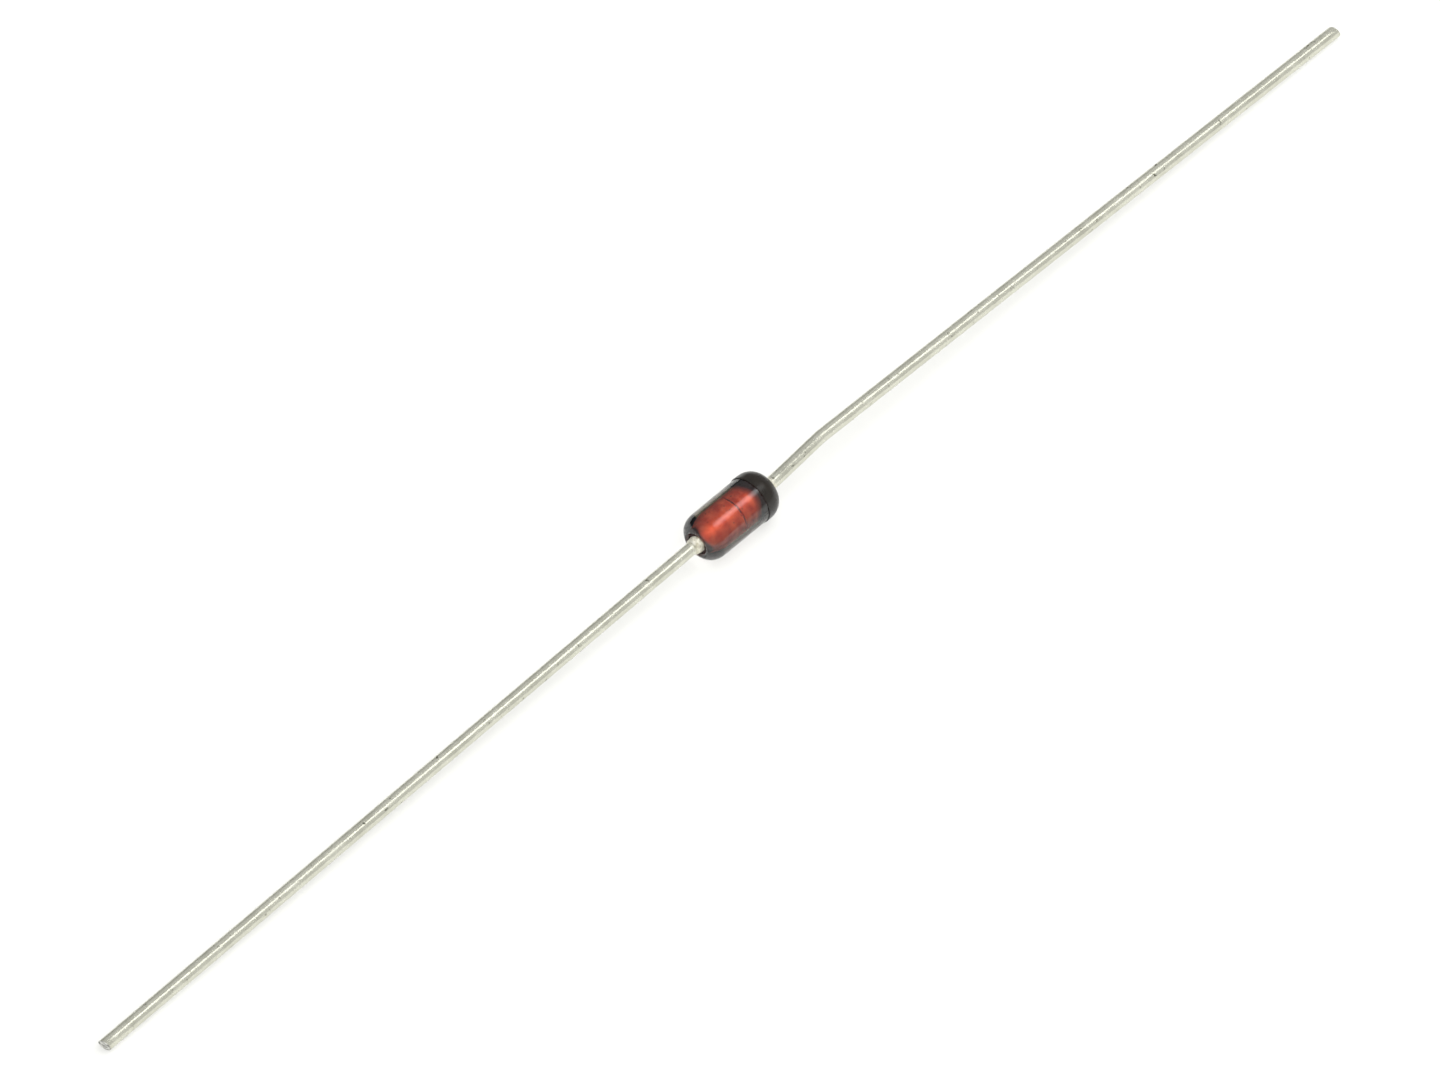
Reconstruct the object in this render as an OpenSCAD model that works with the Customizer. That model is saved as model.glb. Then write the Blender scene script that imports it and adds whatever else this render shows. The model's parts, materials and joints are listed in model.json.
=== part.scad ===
// Axial glass zener diode.
// A glass sleeve is fused round two oxidised copper-clad studs, which clamp a silicon chip
// between them, and a tinned wire lead is welded to the outer face of each stud.
// The diode lies on its cathode band and on the tips of its two drooping leads.
// +X runs along the glass to the cathode, +Z is up, and the origin is on the surface that
// the diode lies on, below the middle of the glass. All sizes are in millimetres.

/* [Glass] */
// Outside diameter of the glass
glass_d = 1.85; // [1.6:0.05:2.3]
// Length of the glass over its round ends
glass_l = 3.58; // [3.3:0.02:5]
// Radius of the round shoulder at each end
shoulder_r = 0.61; // [0.3:0.01:0.75]
// Radius of the inner lip where the glass meets a stud
lip_r = 0.12; // [0.05:0.01:0.16]

/* [Cathode band] */
// Distance from the cathode end of the glass to the band
band_gap = 0.07; // [0.05:0.01:0.3]
// Width of the band along the glass
band_w = 0.72; // [0.3:0.01:0.8]
// Thickness of the enamel
band_t = 0.03; // [0.02:0.01:0.06]

/* [Studs] */
// Diameter of each stud
stud_d = 0.8; // [0.7:0.01:0.9]
// Depth of each stud's outer face below the end of the glass
stud_recess = 0.09; // [0.05:0.01:0.3]
// Radius of the stud's edges
stud_edge_r = 0.012; // [0.005:0.001:0.03]

/* [Chip] */
// Side of the square chip
chip_side = 0.42; // [0.3:0.01:0.48]
// Thickness of the chip
chip_t = 0.05; // [0.04:0.005:0.2]
// Distance of the chip from the middle of the glass, towards the cathode
chip_offset = 0.08; // [-0.2:0.01:0.2]
// Diameter of the silver contact bump
bump_d = 0.24; // [0.12:0.01:0.28]
// Height of the contact bump
bump_t = 0.02; // [0.018:0.001:0.06]
// Radius of the bump's rim
bump_edge_r = 0.008; // [0.004:0.001:0.009]
// Clearance between the chip's corners and the glass that runs in between the studs
chip_clearance = 0.015; // [0.005:0.005:0.03]

/* [Leads] */
// Diameter of the lead wire
lead_d = 0.5; // [0.4:0.01:0.56]
// Distance from the middle of the glass to the tip of the anode lead
anode_reach = 32; // [20:0.5:40]
// Distance from the middle of the glass to the tip of the cathode lead
cathode_reach = 32; // [20:0.5:40]
// Slant of the sheared lead tips
cut_angle = 14; // [0:1:30]
// Turn of the anode tip's slant about the wire, with its long side underneath at 0
anode_cut_turn = 240; // [0:5:355]
// Turn of the cathode tip's slant about the wire, with its long side underneath at 0
cathode_cut_turn = 300; // [0:5:355]
// Bare rim of a stud's outer face round the weld
weld_margin = 0.08; // [0.02:0.01:0.1]
// Thickness of the weld collar
weld_collar = 0.06; // [0.02:0.01:0.1]
// Length over which the weld tapers to the wire
weld_taper = 0.28; // [0.1:0.01:0.35]

/* [Bends] */
// Distance from the end of the glass to a lead's first bend
bend_gap = 0.435; // [0.3:0.005:1]
// Radius of a first bend, at the wire's centre
bend_r = 2; // [1:0.5:5]
// Distance from the end of the glass to the kink in the cathode lead
kink_gap = 2.785; // [1.5:0.005:6]
// Height of the kink above the middle of the glass
kink_rise = 0.29; // [0.1:0.01:0.5]
// Radius of the kink, at the wire's centre
kink_r = 1; // [0.5:0.1:3]
// How much thinner the wire is where it is bent
bend_thinning = 0.004; // [0.002:0.001:0.01]

/* [Hidden] */
$fn = 96;

glass_end = glass_l / 2;
axis_height = glass_d / 2 + band_t;
band_start = glass_end - band_gap - band_w;
stud_face = glass_end - stud_recess;
chip_gap = chip_t + bump_t;
gap_start = chip_offset - chip_gap / 2;
gap_end = chip_offset + chip_gap / 2;
hollow_r = norm([chip_side, chip_side]) / 2 + chip_clearance;
weld_d = stud_d - 2 * weld_margin;

// Arcs of the glass's round ends, as [distance from the axis, distance along it]: the shoulder
// runs into the lip, whose crest is the end of the glass, or into a flat between the two.
shoulder_out = glass_d / 2 - shoulder_r;
lip_out = stud_d / 2 + lip_r;
lip_rise = sqrt(pow(shoulder_r - lip_r, 2) - pow(max(0, lip_out - shoulder_out), 2));
lip_centre = [lip_out, glass_end - lip_r];
shoulder_centre = [min(shoulder_out, lip_out), lip_centre[1] - lip_rise];
lip_meets = shoulder_centre + (lip_centre - shoulder_centre) * shoulder_r / (shoulder_r - lip_r);
blank_end = shoulder_centre[1] + shoulder_r;

// A lead's path starts on its stud's outer face and heads away from the glass. Its straight runs
// reach a little way into the bends beside them.
run_lap = 0.01;
tip_drop = axis_height - lead_d / 2;
first_bend = stud_recess + bend_gap;
anode_ahead = anode_reach - stud_face - first_bend;
anode_turn = turn(anode_ahead, tip_drop, bend_r);

kink_ahead = kink_gap - bend_gap;
rise_turn = turn(kink_ahead, kink_rise, bend_r);
tip_past_kink = rotated([cathode_reach - glass_end - kink_gap, tip_drop + kink_rise], rise_turn);
kink_turn = turn(tip_past_kink[0], tip_past_kink[1], kink_r);

// Angle of a bend of radius r that starts here and aims the wire at a point that lies
// ahead by one distance and aside by another
function turn(ahead, aside, r) = atan2(aside - r, ahead) + asin(r / norm([ahead, aside - r]));

// Length of straight wire from the end of that bend to the point
function run(ahead, aside, r) = sqrt(pow(ahead, 2) + pow(aside - r, 2) - pow(r, 2));

// A point given as [ahead, aside], seen by a wire that has turned away from it by an angle
function rotated(point, a) = [
    point[0] * cos(a) - point[1] * sin(a),
    point[0] * sin(a) + point[1] * cos(a)
];

// Puts a shape that is centred on Z onto the middle of the glass, with Z turned to +X.
module on_axis() translate([0, 0, axis_height]) rotate([0, 90, 0]) children();

// Half the section of a round bar of length l that starts at the origin, with round edges
module bar_section(d, l, edge_r) {
    square([d / 2 - edge_r, l]);
    translate([0, edge_r]) square([d / 2, l - 2 * edge_r]);
    for (y = [edge_r, l - edge_r]) translate([d / 2 - edge_r, y]) circle(edge_r);
}

// Half the section of the glass before it is bored, grown outwards by an even layer
module glass_blank(layer) {
    translate([0, -blank_end - layer])
        bar_section(glass_d + 2 * layer, 2 * (blank_end + layer), shoulder_r + layer);
}

// The corner that the inner lip rounds off at the cathode end of the bore
module lip_corner() {
    difference() {
        polygon([
            [0, lip_centre[1]], lip_centre, lip_meets,
            [lip_meets[0], blank_end + lip_r], [0, blank_end + lip_r]
        ]);
        translate(lip_centre) circle(lip_r);
    }
}

// The glass is fused to the sides of the studs and runs in between them, up to a hollow round
// the chip.
module glass_envelope() {
    color("lightcyan", 0.35) on_axis() rotate_extrude() difference() {
        glass_blank(0);
        translate([-glass_d, -glass_l]) square([glass_d + hollow_r, 2 * glass_l]);
        translate([0, gap_end]) bar_section(stud_d, glass_l, stud_edge_r);
        translate([0, gap_start - glass_l]) bar_section(stud_d, glass_l, stud_edge_r);
        for (flip = [0, 1]) mirror([0, flip]) lip_corner();
    }
}

// The band follows the outside of the glass and runs over the shoulder.
module cathode_band() {
    color("#1c1a1a") on_axis() rotate_extrude() intersection() {
        translate([0, band_start]) square([glass_d, band_w]);
        difference() {
            glass_blank(band_t);
            glass_blank(0);
        }
    }
}

module stud(from, to) {
    color("#a83a26") on_axis() translate([0, 0, from]) rotate_extrude()
        bar_section(stud_d, to - from, stud_edge_r);
}

module anode_stud() stud(-stud_face, gap_start);

module cathode_stud() stud(gap_end, stud_face);

// The chip lies with its back flat on the cathode stud.
module zener_chip() {
    color("#4a4e57") on_axis() translate([0, 0, gap_end - chip_t / 2])
        cube([chip_side, chip_side, chip_t], center = true);
}

// The bump stands on the chip and presses on the anode stud.
module contact_bump() {
    color("silver") on_axis() translate([0, 0, gap_start]) rotate_extrude()
        bar_section(bump_d, bump_t, bump_edge_r);
}

// Straight wire along +X, with what follows at its far end
module straight(l, lap_before = run_lap) {
    translate([-lap_before, 0, 0]) rotate([0, 90, 0]) cylinder(d = lead_d, h = lap_before + l + run_lap);
    translate([l, 0, 0]) children();
}

// A bend down towards -Z, or up with up = 180, with what follows at its far end
module bend(a, r, up = 0) {
    rotate([up, 0, 0]) {
        translate([0, 0, -r]) rotate([-90, -90, 0]) rotate_extrude(angle = a)
            translate([r, 0]) circle(d = lead_d - bend_thinning);
        translate([r * sin(a), 0, r * cos(a) - r]) rotate([0, a, 0]) rotate([-up, 0, 0]) children();
    }
}

// The last straight run, with its end sheared at a slant that is turned about the wire
module sheared_tip(l, cut_turn) {
    difference() {
        straight(l);
        rotate([cut_turn, 0, 0]) translate([l, 0, -lead_d / 2]) rotate([0, -cut_angle, 0])
            translate([0, -lead_d, -lead_d]) cube([lead_d, 2 * lead_d, 3 * lead_d]);
    }
}

// The collar of the butt weld on the stud, which tapers down to the wire
module weld() {
    rotate([0, 90, 0]) {
        cylinder(d = weld_d, h = weld_collar);
        translate([0, 0, weld_collar]) cylinder(d1 = weld_d, d2 = lead_d, h = weld_taper);
    }
}

// Places a lead's path on the outer face of the stud on one side: 1 cathode, -1 anode.
module from_stud(side) {
    translate([side * stud_face, 0, axis_height]) rotate([0, 0, side > 0 ? 0 : 180]) children();
}

module anode_lead() {
    color("#cfcfc6") from_stud(-1) {
        weld();
        straight(first_bend, lap_before = 0) bend(anode_turn, bend_r)
            sheared_tip(run(anode_ahead, tip_drop, bend_r), anode_cut_turn);
    }
}

module cathode_lead() {
    color("#cfcfc6") from_stud(1) {
        weld();
        straight(first_bend, lap_before = 0) bend(rise_turn, bend_r, up = 180)
            straight(run(kink_ahead, kink_rise, bend_r)) bend(kink_turn, kink_r)
                sheared_tip(run(tip_past_kink[0], tip_past_kink[1], kink_r), cathode_cut_turn);
    }
}

glass_envelope();
cathode_band();
anode_stud();
cathode_stud();
zener_chip();
contact_bump();
anode_lead();
cathode_lead();
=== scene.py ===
import json
import math

import bmesh
import bpy
from mathutils import Matrix, Vector, noise


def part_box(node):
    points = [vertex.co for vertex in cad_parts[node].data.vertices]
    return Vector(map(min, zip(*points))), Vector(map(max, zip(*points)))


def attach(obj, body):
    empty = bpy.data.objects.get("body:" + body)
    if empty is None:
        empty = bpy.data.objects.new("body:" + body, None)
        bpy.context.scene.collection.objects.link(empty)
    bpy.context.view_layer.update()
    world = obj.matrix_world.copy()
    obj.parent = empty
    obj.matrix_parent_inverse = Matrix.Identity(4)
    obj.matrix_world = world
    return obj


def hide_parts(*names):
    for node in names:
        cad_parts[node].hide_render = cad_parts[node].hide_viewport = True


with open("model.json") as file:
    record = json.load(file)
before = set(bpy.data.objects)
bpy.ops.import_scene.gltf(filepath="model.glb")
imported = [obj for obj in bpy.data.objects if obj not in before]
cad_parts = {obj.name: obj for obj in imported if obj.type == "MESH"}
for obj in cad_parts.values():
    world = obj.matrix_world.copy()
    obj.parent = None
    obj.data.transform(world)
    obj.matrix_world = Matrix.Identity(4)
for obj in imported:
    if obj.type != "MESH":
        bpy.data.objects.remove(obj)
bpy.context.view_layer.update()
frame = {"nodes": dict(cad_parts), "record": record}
mounts = {mount["name"]: mount for mount in frame["record"]["mounts"]}
mm = 0.001
mergeGap = 0.0005 * mm  # vertices closer than this are one
ringGap = 0.001 * mm    # vertices closer than this along the axis lie on one ring
print("frame loaded:", len(frame["nodes"]), "nodes")


# helpers
def linear(hexColour):  # sRGB hex to linear
    shares = [int(hexColour[i:i + 2], 16) / 255 for i in (1, 3, 5)]
    return [s / 12.92 if s <= 0.04045 else ((s + 0.055) / 1.055) ** 2.4 for s in shares] + [1.0]


# a node with its settings, values and links; a mix node takes numbers at 2 and 3 and gives them at 0,
# and takes colours at 6 and 7 and gives them at 2
def addNode(tree, kind, inputs, **settings):
    node = tree.nodes.new(kind)
    for name, value in settings.items():
        setattr(node, name, value)
    for name, value in inputs.items():
        if isinstance(value, bpy.types.NodeSocket):
            tree.links.new(value, node.inputs[name])
        else:
            node.inputs[name].default_value = value
    return node


def setRamp(node, *stops):  # place and colour of each stop of a colour ramp
    ramp = node.color_ramp
    while len(ramp.elements) < len(stops):
        ramp.elements.new(1.0)
    for element, (place, colour) in zip(ramp.elements, stops):
        element.position = place
        element.color = linear(colour)


def newMaterial(name):
    material = bpy.data.materials.new(name)
    material.use_nodes = True
    material.node_tree.nodes.clear()
    return material, material.node_tree


def onlyThis(piece):  # operators act on all that is selected
    bpy.ops.object.select_all(action="DESELECT")
    piece.select_set(True)
    bpy.context.view_layer.objects.active = piece


def startPiece(name, addPrimitive, **place):
    bpy.ops.object.select_all(action="DESELECT")
    addPrimitive(**place)
    piece = bpy.context.object
    piece.name = name
    piece.data.name = name
    bpy.ops.object.transform_apply(location=True, rotation=True, scale=True)
    bpy.ops.object.mode_set(mode="EDIT")
    bpy.ops.mesh.select_mode(type="VERT")
    return piece


def pick(kind, test):  # selects by place in edit mode
    mesh = bmesh.from_edit_mesh(bpy.context.edit_object.data)
    bpy.ops.mesh.select_mode(type=kind)
    bpy.ops.mesh.select_all(action="DESELECT")
    for part in {"VERT": mesh.verts, "EDGE": mesh.edges, "FACE": mesh.faces}[kind]:
        if test(part):
            part.select_set(True)
    mesh.select_flush_mode()
    bmesh.update_edit_mesh(bpy.context.edit_object.data)


def mergeDoubles():
    bpy.ops.mesh.select_all(action="SELECT")
    bpy.ops.mesh.remove_doubles(threshold=mergeGap)


def closeUp():  # merges doubles, turns faces outwards, leaves edit mode
    mergeDoubles()
    bpy.ops.mesh.normals_make_consistent(inside=False)
    bpy.ops.object.mode_set(mode="OBJECT")


def spinBy(angle, centre, axis, steps):  # the operator turns the other way round its axis
    bpy.ops.mesh.spin(steps=steps, angle=-angle, center=centre, axis=axis)


def extrudeBy(step):
    bpy.ops.mesh.extrude_region_move(TRANSFORM_OT_translate={"value": step})


def addModifier(piece, kind, **settings):
    onlyThis(piece)
    modifier = piece.modifiers.new(kind.lower(), kind)
    for name, value in settings.items():
        setattr(modifier, name, value)
    bpy.ops.object.modifier_apply(modifier=modifier.name)


def dress(piece, node, material, sharpAngle):  # edges steeper than sharpAngle stay sharp
    onlyThis(piece)
    bpy.ops.object.shade_smooth_by_angle(angle=math.radians(sharpAngle))
    piece.data.materials.append(material)
    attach(piece, "root")
    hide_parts(node)
    print(node, "finished:", len(piece.data.polygons), "faces")


# sizes that the frame gives
boxes = {node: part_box(node) for node in frame["nodes"]}
glassLow, glassHigh = boxes["glass_envelope"]
axisZ = (glassLow.z + glassHigh.z) / 2
glassEnd = glassHigh.x
glassRadius = glassHigh.y
studRadius = boxes["anode_stud"][1].y
studEnd = boxes["cathode_stud"][1].x
bandStart = boxes["cathode_band"][0].x
xAxis = Vector((1, 0, 0))
yAxis = Vector((0, 1, 0))
middle = Vector((0, 0, axisZ))


def fromAxis(point):
    return math.hypot(point.y, point.z - axisZ)


# the glass sleeve
glassSpec = {
    "shoulder": 0.61 * mm,      # radius of the round ends
    "lip": 0.12 * mm,           # radius of the rim round the stud
    "tuck": 0.004 * mm,         # glass reaches this far into the studs: fused, with no air between
    "cavity": 0.312 * mm,       # radius of the hollow round the chip
    "seed": 0.1 * mm,           # plane that is merged into the outline's first vertex
    "blend": 0.1 * mm,          # the shoulder runs into the wall over this depth without a visible start
    "blendRounds": 20,
    "shoulderSteps": 26,
    "lipSteps": 14,
    "wallCuts": 23,
    "turnSteps": 144,
    "sharp": 40,
    "rippleSize": 0.8 * mm,
    "rippleDepth": 0.004 * mm,
    "roughness": 0.03,
    "index": 1.7,
    "mirror": 0.3,              # 0.5 mirrors as much as the index gives
    "cast": "#8E8058",
    "castDensity": 1.8 / mm,
}


# Lead glass, drawn as a tube and fused in a furnace: clear, bright at the rim, with a smoky olive cast
# in the thick of the wall and slow ripples left by the fire
def leadGlass(spec):
    material, tree = newMaterial("lead_glass_fire_polished")
    place = addNode(tree, "ShaderNodeTexCoord", {})
    ripple = addNode(tree, "ShaderNodeTexNoise", {
        "Vector": place.outputs["Object"], "Scale": 1 / spec["rippleSize"], "Detail": 1.0})
    bump = addNode(tree, "ShaderNodeBump", {
        "Height": ripple.outputs["Fac"], "Distance": spec["rippleDepth"], "Strength": 1.0})
    surface = addNode(tree, "ShaderNodeBsdfPrincipled", {
        "Base Color": linear("#FFFFFF"), "Roughness": spec["roughness"], "IOR": spec["index"],
        "Specular IOR Level": spec["mirror"], "Transmission Weight": 1.0, "Normal": bump.outputs["Normal"]})
    cast = addNode(tree, "ShaderNodeVolumeAbsorption", {
        "Color": linear(spec["cast"]), "Density": spec["castDensity"]})
    addNode(tree, "ShaderNodeOutputMaterial", {
        "Surface": surface.outputs["BSDF"], "Volume": cast.outputs["Volume"]})
    return material


def makeGlass(spec):
    # the outline is drawn with one vertex: from the hollow round the chip along the bore, over the
    # round end to the outside, back over the other end and home, then spun round the axis
    bore = studRadius - spec["tuck"]
    gapStart = boxes["anode_stud"][1].x - spec["tuck"]
    gapEnd = boxes["cathode_stud"][0].x + spec["tuck"]
    lipX = glassEnd - spec["lip"]
    lipZ = axisZ + studRadius + spec["lip"]
    shoulderZ = axisZ + glassRadius - spec["shoulder"]
    arm = spec["shoulder"] - spec["lip"]
    shoulderX = lipX - math.sqrt(arm ** 2 - (lipZ - shoulderZ) ** 2)
    shoulderTurn = math.acos((lipZ - shoulderZ) / arm)
    lipTurn = math.pi - shoulderTurn
    piece = startPiece("glass", bpy.ops.mesh.primitive_plane_add, size=spec["seed"],
                       location=(gapStart, 0, axisZ + spec["cavity"]))
    bpy.ops.mesh.merge(type="CENTER")
    extrudeBy((gapEnd - gapStart, 0, 0))
    extrudeBy((0, 0, bore - spec["cavity"]))
    extrudeBy((lipX - gapEnd, 0, 0))
    extrudeBy((0, 0, spec["tuck"]))
    spinBy(-lipTurn, (lipX, 0, lipZ), yAxis, spec["lipSteps"])
    spinBy(-shoulderTurn, (shoulderX, 0, shoulderZ), yAxis, spec["shoulderSteps"])
    extrudeBy((-2 * shoulderX, 0, 0))
    spinBy(-shoulderTurn, (-shoulderX, 0, shoulderZ), yAxis, spec["shoulderSteps"])
    spinBy(-lipTurn, (-lipX, 0, lipZ), yAxis, spec["lipSteps"])
    extrudeBy((0, 0, -spec["tuck"]))
    extrudeBy((lipX + gapStart, 0, 0))
    extrudeBy((0, 0, spec["cavity"] - bore))
    mergeDoubles()
    pick("EDGE", lambda edge: edge.calc_length() > shoulderX / 2)  # the straight runs of bore and wall
    bpy.ops.mesh.subdivide(number_cuts=spec["wallCuts"])
    pick("VERT", lambda vertex: fromAxis(vertex.co) > glassRadius - spec["blend"])
    bpy.ops.mesh.vertices_smooth(factor=0.5, repeat=spec["blendRounds"])
    bpy.ops.mesh.select_all(action="SELECT")
    spinBy(2 * math.pi, middle, xAxis, spec["turnSteps"])
    closeUp()
    return piece


# the cathode band
bandSpec = {
    "sunk": 0.004 * mm,        # how far the enamel's underside lies in the glass
    "edgeWander": 0.018 * mm,  # how far the printed edge strays
    "edgeWave": 0.35 * mm,     # length of its waves
    "rim": 0.01 * mm,
    "rimSteps": 3,
    "sharp": 50,
    "patch": 0.5 * mm,         # size of the thinner and duller patches
    "tint": ((0.35, "#0A0704"), (0.75, "#15110C")),
    "roughness": (0.2, 0.35),
    "grain": 0.12 * mm,
    "grainDepth": 0.004 * mm,
    "index": 1.5,
}


# Black enamel, printed as a ring and fired: soft gloss with duller patches, a faint grain, and an edge
# that wanders a little
def blackEnamel(spec):
    material, tree = newMaterial("black_enamel_fired")
    place = addNode(tree, "ShaderNodeTexCoord", {})
    grain = addNode(tree, "ShaderNodeTexNoise", {
        "Vector": place.outputs["Object"], "Scale": 1 / spec["grain"], "Detail": 3.0})
    cloud = addNode(tree, "ShaderNodeTexNoise", {
        "Vector": place.outputs["Object"], "Scale": 1 / spec["patch"], "Detail": 2.0})
    tint = addNode(tree, "ShaderNodeValToRGB", {"Fac": cloud.outputs["Fac"]})
    setRamp(tint, *spec["tint"])
    gloss = addNode(tree, "ShaderNodeMapRange", {
        "Value": cloud.outputs["Fac"], "To Min": spec["roughness"][0], "To Max": spec["roughness"][1]})
    bump = addNode(tree, "ShaderNodeBump", {
        "Height": grain.outputs["Fac"], "Distance": spec["grainDepth"], "Strength": 1.0})
    surface = addNode(tree, "ShaderNodeBsdfPrincipled", {
        "Base Color": tint.outputs["Color"], "Roughness": gloss.outputs["Result"],
        "IOR": spec["index"], "Normal": bump.outputs["Normal"]})
    addNode(tree, "ShaderNodeOutputMaterial", {"Surface": surface.outputs["BSDF"]})
    return material


def makeBand(spec, glass):
    # the skin of the glass between the band's two edges, thickened outwards
    bandHigh = boxes["cathode_band"][1]
    whole = bandHigh.y - glassRadius + spec["sunk"]
    innerLip = studRadius + glassSpec["lip"] / 2
    onlyThis(glass)
    bpy.ops.object.duplicate()
    piece = bpy.context.object
    piece.name = "band"
    piece.data.name = "band"
    bpy.ops.object.mode_set(mode="EDIT")
    for place, way in ((bandStart, -1), (bandHigh.x, 1)):
        bpy.ops.mesh.select_all(action="SELECT")
        bpy.ops.mesh.bisect(plane_co=(place, 0, axisZ), plane_no=(way, 0, 0), clear_outer=True)
    pick("FACE", lambda face: fromAxis(face.calc_center_median()) < innerLip)
    bpy.ops.mesh.delete(type="FACE")
    bpy.ops.object.mode_set(mode="OBJECT")
    for vertex in piece.data.vertices:
        if abs(vertex.co.x - bandStart) < ringGap:
            wander = noise.noise(Vector((0, vertex.co.y, vertex.co.z)) / spec["edgeWave"])
            vertex.co.x += spec["edgeWander"] * abs(wander)
    addModifier(piece, "SOLIDIFY", thickness=whole, offset=1 - 2 * spec["sunk"] / whole,
                use_even_offset=True)
    addModifier(piece, "BEVEL", width=spec["rim"], segments=spec["rimSteps"], limit_method="ANGLE",
                angle_limit=math.radians(spec["sharp"]))
    return piece


glass = makeGlass(glassSpec)
band = makeBand(bandSpec, glass)
dress(glass, "glass_envelope", leadGlass(glassSpec), glassSpec["sharp"])
dress(band, "cathode_band", blackEnamel(bandSpec), bandSpec["sharp"])


# the studs and the contact bump are round bars along the axis
def makeBar(spec, name, node):
    low, high = boxes[node]
    piece = startPiece(name, bpy.ops.mesh.primitive_cylinder_add, vertices=spec["sides"], radius=high.y,
                       depth=high.x - low.x, location=(low + high) / 2, rotation=(0, math.pi / 2, 0))
    pick("EDGE", lambda edge: abs(edge.verts[0].co.x - edge.verts[1].co.x) < ringGap)
    bpy.ops.mesh.bevel(offset=spec["edge"], segments=spec["edgeSteps"], affect="EDGES")
    closeUp()
    return piece


studSpec = {
    "sides": 96,
    "edge": 0.012 * mm,
    "edgeSteps": 4,
    "sharp": 40,
    "mottle": 0.3 * mm,          # size of the lighter and darker patches
    "tint": ((0.34, "#DA4026"), (0.68, "#FF704A")),
    "speck": 0.09 * mm,
    "specks": ((0.7, "#FFFFFF"), (0.78, "#402018")),
    "weldShade": ((0.08 * mm, "#2E1812"), (0.19 * mm, "#D0DAF8"), (0.5 * mm, "#FFFFFF")),  # painted shade, measured from the weld: dark in its recess, then a dimmer stretch
    "bandShadow": ((-0.3 * mm, "#FFFFFF"), (0.05 * mm, "#301610")),                         # painted shadow of the band, measured from the band
    "flank": (0, 0.862, 0.506),  # across the two flanks, where the painted shade reaches furthest
    "flankShadeReach": 0.2,           # and by what share it reaches further there
    "lines": (1.2 * mm, 0.05 * mm, 0.05 * mm),  # size of the drawn lines
    "lineDepth": 0.003 * mm,
    "roughness": 0.47,
    "metallic": 0.65,
}


# Copper-clad stud, fired until its skin is red oxide: a warm red metal, mottled, with a soft sheen
# along it, fine drawn lines and small black specks; painted shade darkens it in the weld's recess and
# painted shadow under the band's edge, furthest on two flanks
def redOxide(spec):
    material, tree = newMaterial("oxidised_copper_fired")
    place = addNode(tree, "ShaderNodeTexCoord", {})
    stretch = addNode(tree, "ShaderNodeMapping", {
        "Vector": place.outputs["Object"], "Scale": [1 / size for size in spec["lines"]]})
    lines = addNode(tree, "ShaderNodeTexNoise", {
        "Vector": stretch.outputs["Vector"], "Scale": 1.0, "Detail": 2.0})
    cloud = addNode(tree, "ShaderNodeTexNoise", {
        "Vector": place.outputs["Object"], "Scale": 1 / spec["mottle"], "Detail": 3.0})
    specks = addNode(tree, "ShaderNodeTexNoise", {
        "Vector": place.outputs["Object"], "Scale": 1 / spec["speck"], "Detail": 1.0})
    tint = addNode(tree, "ShaderNodeValToRGB", {"Fac": cloud.outputs["Fac"]})
    setRamp(tint, *spec["tint"])
    dark = addNode(tree, "ShaderNodeValToRGB", {"Fac": specks.outputs["Fac"]})
    setRamp(dark, *spec["specks"])
    speckled = addNode(tree, "ShaderNodeMix", {
        "Factor": 1.0, 6: tint.outputs["Color"], 7: dark.outputs["Color"]},
        data_type="RGBA", blend_type="MULTIPLY")
    # painted shade: the red is darkened by place along the stud, in the weld's recess and where the band's
    # shadow falls, reaching further on the flanks
    parts = addNode(tree, "ShaderNodeSeparateXYZ", {"Vector": place.outputs["Object"]})
    fromMiddle = addNode(tree, "ShaderNodeVectorMath", {
        0: place.outputs["Object"], 1: middle}, operation="SUBTRACT")
    aside = addNode(tree, "ShaderNodeVectorMath", {
        0: fromMiddle.outputs["Vector"], 1: Vector(spec["flank"]) / studRadius}, operation="DOT_PRODUCT")
    flank = addNode(tree, "ShaderNodeMath", {
        0: aside.outputs["Value"], 1: aside.outputs["Value"]}, operation="MULTIPLY")
    reach = addNode(tree, "ShaderNodeMath", {
        0: flank.outputs["Value"], 1: spec["flankShadeReach"], 2: 1.0}, operation="MULTIPLY_ADD")
    shadePlace = addNode(tree, "ShaderNodeMath", {
        0: parts.outputs["X"], 1: reach.outputs["Value"]}, operation="MULTIPLY")
    along = addNode(tree, "ShaderNodeMapRange", {
        "Value": shadePlace.outputs["Value"], "From Min": -studEnd, "From Max": studEnd})
    fired = addNode(tree, "ShaderNodeValToRGB", {"Fac": along.outputs["Result"]})
    stops = [(x - studEnd, colour) for x, colour in spec["weldShade"]]
    stops += [(x + bandStart, colour) for x, colour in spec["bandShadow"]]
    setRamp(fired, *(((x + studEnd) / (2 * studEnd), colour) for x, colour in stops))
    colour = addNode(tree, "ShaderNodeMix", {
        "Factor": 1.0, 6: speckled.outputs[2], 7: fired.outputs["Color"]},
        data_type="RGBA", blend_type="MULTIPLY")
    bump = addNode(tree, "ShaderNodeBump", {
        "Height": lines.outputs["Fac"], "Distance": spec["lineDepth"], "Strength": 1.0})
    surface = addNode(tree, "ShaderNodeBsdfPrincipled", {
        "Base Color": colour.outputs[2], "Roughness": spec["roughness"], "Metallic": spec["metallic"],
        "Normal": bump.outputs["Normal"]})
    addNode(tree, "ShaderNodeOutputMaterial", {"Surface": surface.outputs["BSDF"]})
    return material


redSkin = redOxide(studSpec)
for studNode in ("anode_stud", "cathode_stud"):
    stud = makeBar(studSpec, studNode.replace("_", "."), studNode)
    dress(stud, studNode, redSkin, studSpec["sharp"])


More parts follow.
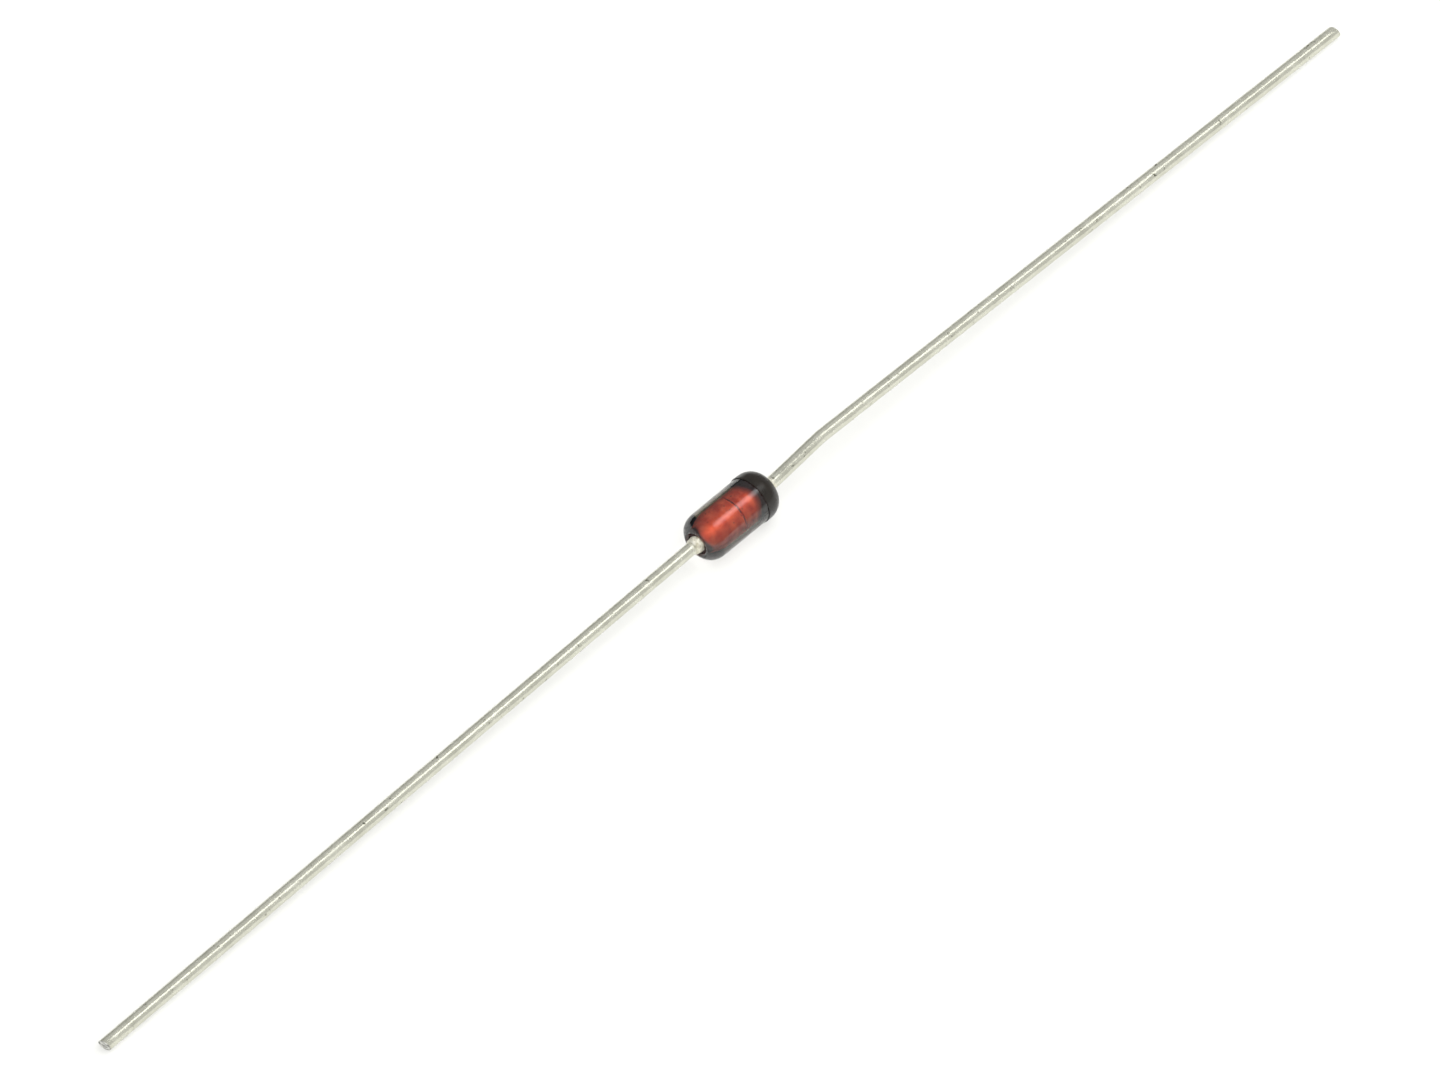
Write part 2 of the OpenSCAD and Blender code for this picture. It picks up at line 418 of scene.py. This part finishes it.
# the chip
chipSpec = {
    "mesa": 0.02 * mm,  # slope etched round the contact face
    "edge": 0.004 * mm,
    "edgeSteps": 2,
    "sharp": 30,
    "pit": 0.04 * mm,
    "colour": "#4A4E57",
    "metallic": 0.7,
    "roughness": (0.2, 0.45),
}


# Silicon, sawn and etched: dark, faintly blue, with a dull metal shine
def etchedSilicon(spec):
    material, tree = newMaterial("silicon_etched")
    place = addNode(tree, "ShaderNodeTexCoord", {})
    pits = addNode(tree, "ShaderNodeTexNoise", {
        "Vector": place.outputs["Object"], "Scale": 1 / spec["pit"], "Detail": 2.0})
    gloss = addNode(tree, "ShaderNodeMapRange", {
        "Value": pits.outputs["Fac"], "To Min": spec["roughness"][0], "To Max": spec["roughness"][1]})
    surface = addNode(tree, "ShaderNodeBsdfPrincipled", {
        "Base Color": linear(spec["colour"]), "Metallic": spec["metallic"],
        "Roughness": gloss.outputs["Result"]})
    addNode(tree, "ShaderNodeOutputMaterial", {"Surface": surface.outputs["BSDF"]})
    return material


def makeChip(spec):
    low, high = boxes["zener_chip"]
    piece = startPiece("chip", bpy.ops.mesh.primitive_cube_add, size=1, location=(low + high) / 2,
                       scale=high - low)
    pick("FACE", lambda face: face.normal.x < -0.5)  # the contact face looks towards the anode
    bpy.ops.mesh.bevel(offset=spec["mesa"], segments=1, affect="EDGES")
    bpy.ops.mesh.select_all(action="SELECT")
    bpy.ops.mesh.bevel(offset=spec["edge"], segments=spec["edgeSteps"], affect="EDGES")
    closeUp()
    return piece


dress(makeChip(chipSpec), "zener_chip", etchedSilicon(chipSpec), chipSpec["sharp"])


# the contact bump
bumpSpec = {
    "sides": 48,
    "edge": 0.008 * mm,
    "edgeSteps": 4,
    "sharp": 30,
    "grain": 0.02 * mm,
    "colour": "#D9D5CB",
    "roughness": (0.3, 0.5),
}


# Plated silver: pale and soft with a fine matt grain
def platedSilver(spec):
    material, tree = newMaterial("silver_plated")
    place = addNode(tree, "ShaderNodeTexCoord", {})
    grain = addNode(tree, "ShaderNodeTexNoise", {
        "Vector": place.outputs["Object"], "Scale": 1 / spec["grain"], "Detail": 2.0})
    gloss = addNode(tree, "ShaderNodeMapRange", {
        "Value": grain.outputs["Fac"], "To Min": spec["roughness"][0], "To Max": spec["roughness"][1]})
    surface = addNode(tree, "ShaderNodeBsdfPrincipled", {
        "Base Color": linear(spec["colour"]), "Metallic": 1.0, "Roughness": gloss.outputs["Result"]})
    addNode(tree, "ShaderNodeOutputMaterial", {"Surface": surface.outputs["BSDF"]})
    return material


contactBump = makeBar(bumpSpec, "bump", "contact_bump")
dress(contactBump, "contact_bump", platedSilver(bumpSpec), bumpSpec["sharp"])


# the leads
leadSpec = {
    "sides": 48,
    "step": 0.1 * mm,              # distance between the rings of a straight run
    "collar": 0.06 * mm,           # weld collar on the stud
    "taper": 0.28 * mm,            # length over which the weld runs down to the wire
    "taperSteps": 10,
    "bendGap": 0.435 * mm,         # from the glass to the cathode lead's first bend
    "bendRadius": 2.0 * mm,
    "kinkRadius": 1.0 * mm,
    "bendSteps": 10,
    "cutAngle": 14,                # slant of the sheared tips, in degrees
    "cutTurns": {"anode_lead": 240, "cathode_lead": 300},  # turn of each slant about the wire
    "cutEdge": 0.015 * mm,         # how far the shears rolled the tip's edge over
    "cutEdgeSteps": 3,
    "lump": 0.1 * mm,              # how uneven the weld is
    "lumpLevel": 0.6,              # share of its lumps that dips in
    "lumpSize": 0.15 * mm,
    "lumpReach": 0.15 * mm,
    "lumpFade": 4,
    "ripple": 0.008 * mm,          # how uneven the tin is
    "rippleLevel": 1.0,            # all of its ripples dip in
    "rippleSize": 0.45 * mm,
    "sharp": 35,
    "lines": (2.5 * mm, 0.08 * mm, 0.08 * mm),  # size of the drawn lines
    "lineDepth": 0.003 * mm,
    "mottle": 0.5 * mm,            # size of the duller patches
    "tint": ((0.3, "#C1C1B2"), (0.7, "#D2D2C4")),
    "dullFrom": (0.3, 0.7),
    "roughness": (0.16, 0.3),
    "pit": 0.22 * mm,
    "pits": ((0.66, "#FFFFFF"), (0.76, "#8C8C84")),
    "grain": 0.13 * mm,
    "grainDepth": 0.006 * mm,
    "tear": 0.16 * mm,             # torn metal on the sheared ends
    "tearTint": ((0.4, "#6A6A66"), (0.6, "#E4E4DE")),
    "tearFacing": (0.7, 0.9),      # how squarely a face looks along the diode to count as sheared
    "crust": 0.12 * mm,
    "crustTint": ((0.35, "#C9C5AE"), (0.5, "#E6E3D2"), (0.65, "#F6F4E6")),
    "crustDepth": 0.014 * mm,
    "crustRoughness": 0.55,
    "crustEnd": (0.3 * mm, 0.45 * mm),  # the crust fades out between these distances from the stud
    "metallic": 0.86,
}


# Tinned wire, dipped and wiped: pale warm grey, a broken highlight along it from ripples in the tin,
# duller patches where it was handled, dark pits and faint lengthwise lines, torn grey metal on the
# sheared ends, and a matt yellowish crust on the weld
def tinnedWire(spec):
    material, tree = newMaterial("tinned_wire_dipped")
    place = addNode(tree, "ShaderNodeTexCoord", {})
    stretch = addNode(tree, "ShaderNodeMapping", {
        "Vector": place.outputs["Object"], "Scale": [1 / size for size in spec["lines"]]})
    lines = addNode(tree, "ShaderNodeTexNoise", {
        "Vector": stretch.outputs["Vector"], "Scale": 1.0, "Detail": 3.0})
    mottle = addNode(tree, "ShaderNodeTexNoise", {
        "Vector": place.outputs["Object"], "Scale": 1 / spec["mottle"], "Detail": 3.0})
    grain = addNode(tree, "ShaderNodeTexNoise", {
        "Vector": place.outputs["Object"], "Scale": 1 / spec["grain"], "Detail": 2.0})
    tint = addNode(tree, "ShaderNodeValToRGB", {"Fac": mottle.outputs["Fac"]})
    setRamp(tint, *spec["tint"])
    pits = addNode(tree, "ShaderNodeTexNoise", {
        "Vector": place.outputs["Object"], "Scale": 1 / spec["pit"], "Detail": 2.0})
    dark = addNode(tree, "ShaderNodeValToRGB", {"Fac": pits.outputs["Fac"]})
    setRamp(dark, *spec["pits"])
    tin = addNode(tree, "ShaderNodeMix", {
        "Factor": 1.0, 6: tint.outputs["Color"], 7: dark.outputs["Color"]},
        data_type="RGBA", blend_type="MULTIPLY")
    gloss = addNode(tree, "ShaderNodeMapRange", {
        "Value": mottle.outputs["Fac"],
        "From Min": spec["dullFrom"][0], "From Max": spec["dullFrom"][1],
        "To Min": spec["roughness"][0], "To Max": spec["roughness"][1]})
    parts = addNode(tree, "ShaderNodeSeparateXYZ", {"Vector": place.outputs["Object"]})
    fromMiddle = addNode(tree, "ShaderNodeMath", {0: parts.outputs["X"]}, operation="ABSOLUTE")
    weld = addNode(tree, "ShaderNodeMapRange", {
        "Value": fromMiddle.outputs["Value"],
        "From Min": studEnd + spec["crustEnd"][1], "From Max": studEnd + spec["crustEnd"][0]})
    crust = addNode(tree, "ShaderNodeTexNoise", {
        "Vector": place.outputs["Object"], "Scale": 1 / spec["crust"], "Detail": 2.0})
    flux = addNode(tree, "ShaderNodeValToRGB", {"Fac": crust.outputs["Fac"]})
    setRamp(flux, *spec["crustTint"])
    facing = addNode(tree, "ShaderNodeSeparateXYZ", {"Vector": place.outputs["Normal"]})
    endOn = addNode(tree, "ShaderNodeMath", {0: facing.outputs["X"]}, operation="ABSOLUTE")
    sheared = addNode(tree, "ShaderNodeMapRange", {
        "Value": endOn.outputs["Value"],
        "From Min": spec["tearFacing"][0], "From Max": spec["tearFacing"][1]})
    tear = addNode(tree, "ShaderNodeTexNoise", {
        "Vector": place.outputs["Object"], "Scale": 1 / spec["tear"], "Detail": 2.0})
    core = addNode(tree, "ShaderNodeValToRGB", {"Fac": tear.outputs["Fac"]})
    setRamp(core, *spec["tearTint"])
    cutWire = addNode(tree, "ShaderNodeMix", {
        "Factor": sheared.outputs["Result"], 6: tin.outputs[2], 7: core.outputs["Color"]},
        data_type="RGBA")
    skin = addNode(tree, "ShaderNodeMix", {
        "Factor": weld.outputs["Result"], 6: cutWire.outputs[2], 7: flux.outputs["Color"]},
        data_type="RGBA")
    dullness = addNode(tree, "ShaderNodeMix", {
        "Factor": weld.outputs["Result"], 2: gloss.outputs["Result"], 3: spec["crustRoughness"]})
    ripples = addNode(tree, "ShaderNodeBump", {
        "Height": grain.outputs["Fac"], "Distance": spec["grainDepth"], "Strength": 1.0})
    drawn = addNode(tree, "ShaderNodeBump", {
        "Height": lines.outputs["Fac"], "Distance": spec["lineDepth"], "Strength": 1.0,
        "Normal": ripples.outputs["Normal"]})
    rough = addNode(tree, "ShaderNodeBump", {
        "Height": crust.outputs["Fac"], "Distance": spec["crustDepth"],
        "Strength": weld.outputs["Result"], "Normal": drawn.outputs["Normal"]})
    surface = addNode(tree, "ShaderNodeBsdfPrincipled", {
        "Base Color": skin.outputs[2], "Metallic": spec["metallic"], "Roughness": dullness.outputs[0],
        "Normal": rough.outputs["Normal"]})
    addNode(tree, "ShaderNodeOutputMaterial", {"Surface": surface.outputs["BSDF"]})
    return material


def straightRun(mount):  # start, end and direction of a lead's long straight run
    half = mount["dims"]["length_mm"] * mm / 2
    along = Vector(mount["axis"])
    centre = Vector(mount["pos_m"])
    return centre - along * half, centre + along * half, along


def anodePath():  # one bend, tangent to the axis and to the run
    start, end, along = straightRun(mounts["anode_wire"])
    corner = start - along * ((start.z - axisZ) / along.z)
    reach = (start - corner).length
    turn = math.acos(-along.x)
    return [
        ("run", -corner.x - reach + boxes["anode_stud"][0].x),
        ("bend", turn, reach / math.tan(turn / 2)),
        ("run", (end - start).length),
    ]


def cathodePath(spec):  # a bend up and a kink down, joined by the line that touches both arcs
    start, end, along = straightRun(mounts["cathode_wire"])
    bendCentre = Vector((glassEnd + spec["bendGap"], 0, axisZ + spec["bendRadius"]))
    kinkCentre = start + Vector((along.z, 0, -along.x)) * spec["kinkRadius"]
    apart = kinkCentre - bendCentre
    both = spec["bendRadius"] + spec["kinkRadius"]
    rise = math.atan2(apart.z, apart.x) + math.asin(both / apart.length)
    return [
        ("run", bendCentre.x - studEnd),
        ("bend", -rise, spec["bendRadius"]),
        ("run", math.sqrt(apart.length_squared - both ** 2)),
        ("bend", rise - math.asin(along.z), spec["kinkRadius"]),
        ("run", (end - start).length),
    ]


def cloudTexture(name, size):
    texture = bpy.data.textures.new(name, "CLOUDS")
    texture.noise_scale = size
    return texture


def upFrom(heading, side):
    return Vector((-heading.z, 0, heading.x)) * side


def growWeld(spec, root, heading, weldRadius, wireRadius):  # a bead that rounds down to the wire
    tip = root
    ringRadius = weldRadius
    for step in range(1, spec["taperSteps"] + 1):
        bulge = math.pi / 2 * step / spec["taperSteps"]
        newTip = root + heading * (spec["taper"] * math.sin(bulge))
        newRadius = wireRadius + (weldRadius - wireRadius) * math.cos(bulge)
        extrudeBy(newTip - tip)
        shrink = newRadius / ringRadius
        bpy.ops.transform.resize(value=(1, shrink, shrink), center_override=newTip)
        tip = newTip
        ringRadius = newRadius
    return tip


def growPath(spec, tip, heading, side, path):  # straight runs in rings, and bends by spin
    for kind, *sizes in path:
        if kind == "run":
            length = sizes[0]
            rings = max(1, round(length / spec["step"]))
            for ring in range(rings):
                extrudeBy(heading * length / rings)
            tip = tip + heading * length
        else:
            turn, radius = sizes
            centre = tip - upFrom(heading, side) * math.copysign(radius, turn)
            spinBy(turn * side, centre, yAxis, spec["bendSteps"])
            swing = Matrix.Rotation(turn * side, 3, "Y")
            tip = centre + swing @ (tip - centre)
            heading = swing @ heading
    return tip, heading


def roughen(spec, piece, root):  # lumps on the weld that fade out along the wire, ripples in the tin
    pick("VERT", lambda vertex: abs(vertex.co.x - root.x) < spec["lumpReach"])
    bpy.ops.object.vertex_group_assign_new()
    bpy.ops.mesh.select_all(action="SELECT")
    bpy.ops.object.vertex_group_smooth(factor=0.5, repeat=spec["lumpFade"])
    bpy.ops.mesh.normals_make_consistent(inside=False)
    bpy.ops.object.mode_set(mode="OBJECT")
    addModifier(piece, "DISPLACE", texture=weldLumps, strength=spec["lump"], mid_level=spec["lumpLevel"],
                vertex_group=piece.vertex_groups.active.name)
    addModifier(piece, "DISPLACE", texture=tinRipples, strength=spec["ripple"],
                mid_level=spec["rippleLevel"])


def shearTip(spec, tip, heading, lean, wireRadius):  # cuts the end off and closes both ends of the lead
    cut = math.radians(spec["cutAngle"])
    cutNormal = heading * math.cos(cut) + lean * math.sin(cut)
    bpy.ops.object.mode_set(mode="EDIT")
    bpy.ops.mesh.select_all(action="SELECT")
    bpy.ops.mesh.bisect(plane_co=tip - lean * wireRadius, plane_no=cutNormal, clear_outer=True)
    bpy.ops.mesh.select_all(action="SELECT")
    bpy.ops.mesh.fill_holes(sides=0)
    bpy.ops.mesh.normals_make_consistent(inside=False)
    pick("FACE", lambda face: (face.calc_center_median() - tip).length < wireRadius)
    bpy.ops.mesh.bevel(offset=spec["cutEdge"], segments=spec["cutEdgeSteps"], affect="EDGES")
    closeUp()


def makeLead(spec, node, side, path):
    # a ring is grown out of the stud along the lead's path: the weld, then runs and bends
    low, high = boxes[node]
    weldRadius = high.y
    wireRadius = mounts[node.replace("lead", "wire")]["dims"]["r_mm"] * mm
    foot = Vector((low.x if side > 0 else high.x, 0, axisZ))
    heading = xAxis * side
    root = foot + heading * spec["collar"]
    piece = startPiece(node.replace("_", "."), bpy.ops.mesh.primitive_circle_add, vertices=spec["sides"],
                       radius=weldRadius, location=foot, rotation=(0, math.pi / 2, 0))
    extrudeBy(heading * spec["collar"])
    tip = growWeld(spec, root, heading, weldRadius, wireRadius)
    endLength = 2 * wireRadius  # the last of the wire has no rings, so that the cut crosses none
    first = ("run", path[0][1] - spec["collar"] - spec["taper"])
    last = ("run", path[-1][1] - endLength)
    tip, heading = growPath(spec, tip, heading, side, [first, *path[1:-1], last])
    extrudeBy(heading * 2 * endLength)  # with as much again to cut off
    tip = tip + heading * endLength
    up = upFrom(heading, side)
    cutTurn = math.radians(spec["cutTurns"][node])
    lean = up * math.cos(cutTurn) - up.cross(heading) * math.sin(cutTurn)
    roughen(spec, piece, root)
    shearTip(spec, tip, heading, lean, wireRadius)
    return piece


weldLumps = cloudTexture("weldLumps", leadSpec["lumpSize"])
tinRipples = cloudTexture("tinRipples", leadSpec["rippleSize"])
wireSkin = tinnedWire(leadSpec)
anodeLead = makeLead(leadSpec, "anode_lead", -1, anodePath())
cathodeLead = makeLead(leadSpec, "cathode_lead", 1, cathodePath(leadSpec))
dress(anodeLead, "anode_lead", wireSkin, leadSpec["sharp"])
dress(cathodeLead, "cathode_lead", wireSkin, leadSpec["sharp"])


# stage: floor, light and camera
floorSpec = {
    "size": 3.0,
    "colour": "#A6A6A4",  # comes out white under these lamps
    "roughness": 0.9,
    "mirror": 0.2,
}


# White card: matt and even, so that only the soft shadow shows on it
def whiteCard(spec):
    material, tree = newMaterial("white_card_matt")
    surface = addNode(tree, "ShaderNodeBsdfPrincipled", {
        "Base Color": linear(spec["colour"]), "Roughness": spec["roughness"],
        "Specular IOR Level": spec["mirror"]})
    addNode(tree, "ShaderNodeOutputMaterial", {"Surface": surface.outputs["BSDF"]})
    return material


bpy.ops.object.select_all(action="DESELECT")
bpy.ops.mesh.primitive_plane_add(size=floorSpec["size"], location=(0, 0, 0))
floor = bpy.context.object
floor.name = "floor"
floor.data.materials.append(whiteCard(floorSpec))

# a white tent, bright in front, darker above and behind, open low down at the back
tentSpec = {
    "front": (0, -0.94, 0.342),
    "glow": ((0.05, "#363638"), (0.18, "#9A9A9B"), (0.5, "#BCBCBD"), (0.6, "#A9A9AA"), (0.72, "#A9A9AA"),
             (0.86, "#C2C2C1"), (1.0, "#C8C8C7")),  # from the back to the front
}


def lightTent(spec):
    world = bpy.data.worlds.new("tent")
    bpy.context.scene.world = world
    world.use_nodes = True
    tree = world.node_tree
    way = addNode(tree, "ShaderNodeTexCoord", {})
    facing = addNode(tree, "ShaderNodeVectorMath", {
        0: way.outputs["Generated"], 1: Vector(spec["front"]).normalized()}, operation="DOT_PRODUCT")
    share = addNode(tree, "ShaderNodeMapRange", {
        "Value": facing.outputs["Value"], "From Min": -1.0, "From Max": 1.0})
    walls = addNode(tree, "ShaderNodeValToRGB", {"Fac": share.outputs["Result"]})
    setRamp(walls, *spec["glow"])
    tree.links.new(walls.outputs["Color"], tree.nodes["Background"].inputs["Color"])


# way: where a lamp stands from the diode, and far: how far away; along and across: its size in degrees,
# along the diode and across it; spread: width of its beam in degrees; glow: its brightness against the
# white of the picture; mirrored: seen in reflections; through: seen through the glass
lights = {
    "softbox": {"way": (0.483, -0.250, 0.839), "far": 0.6, "along": 26, "across": 24, "spread": 30,
                "glow": 2.7, "mirrored": True, "through": True, "shadow": True},
    "overhead": {"way": (0.483, -0.250, 0.839), "far": 0.8, "along": 40, "across": 40, "spread": 180,
                 "glow": 11.3, "mirrored": False, "through": True, "shadow": False},
    "fill": {"way": (0.1, -0.3, 0.95), "far": 1.0, "along": 77, "across": 77, "spread": 180,
             "glow": 2.5, "mirrored": False, "through": False, "shadow": False},
}


def addLamp(name, spec):
    way = Vector(spec["way"]).normalized()
    along = (xAxis - way * way.x).normalized()
    bpy.ops.object.light_add(type="AREA", location=middle + way * spec["far"])
    lamp = bpy.context.object
    lamp.name = name
    lamp.rotation_mode = "QUATERNION"
    lamp.rotation_quaternion = Matrix((along, way.cross(along), way)).transposed().to_quaternion()
    lamp.visible_glossy = spec["mirrored"]
    lamp.visible_transmission = spec["through"]
    lamp.data.use_shadow = spec["shadow"]
    lamp.data.shape = "RECTANGLE"
    lamp.data.size = 2 * spec["far"] * math.tan(math.radians(spec["along"] / 2))
    lamp.data.size_y = 2 * spec["far"] * math.tan(math.radians(spec["across"] / 2))
    lamp.data.spread = math.radians(spec["spread"])
    half = lamp.data.spread / 2
    # the same power in a narrow beam is brighter
    beam = 1 if spec["spread"] == 180 else math.tan(half) / (math.tan(half) - half)
    lamp.data.energy = spec["glow"] * math.pi * lamp.data.size * lamp.data.size_y / beam


cameraSpec = {
    "azimuth": -47.493,
    "elevation": 49.081,
    "distance": 835 * mm,
    "lens": 595.2,
    "sensor": 36.0,
    "aimRight": -0.379 * mm,  # where the middle of the picture lies from the middle of the glass
    "aimUp": -0.836 * mm,
    "clipStart": 0.01,
    "clipEnd": 20,
}


def addCamera(spec):
    azimuth = math.radians(spec["azimuth"])
    elevation = math.radians(spec["elevation"])
    back = Vector((math.sin(azimuth) * math.cos(elevation), -math.cos(azimuth) * math.cos(elevation),
                   math.sin(elevation)))
    right = Vector((math.cos(azimuth), math.sin(azimuth), 0))
    aim = middle + right * spec["aimRight"] + back.cross(right) * spec["aimUp"]
    bpy.ops.object.camera_add(location=aim + back * spec["distance"])
    camera = bpy.context.object
    camera.rotation_mode = "QUATERNION"
    camera.rotation_quaternion = (-back).to_track_quat("-Z", "Y")
    camera.data.lens = spec["lens"]
    camera.data.sensor_width = spec["sensor"]
    camera.data.clip_start = spec["clipStart"]
    camera.data.clip_end = spec["clipEnd"]
    bpy.context.scene.camera = camera


lightTent(tentSpec)
for lampName, lampSpec in lights.items():
    addLamp(lampName, lampSpec)
addCamera(cameraSpec)
bpy.context.scene.view_settings.view_transform = "Standard"
print("stage, light and camera set")
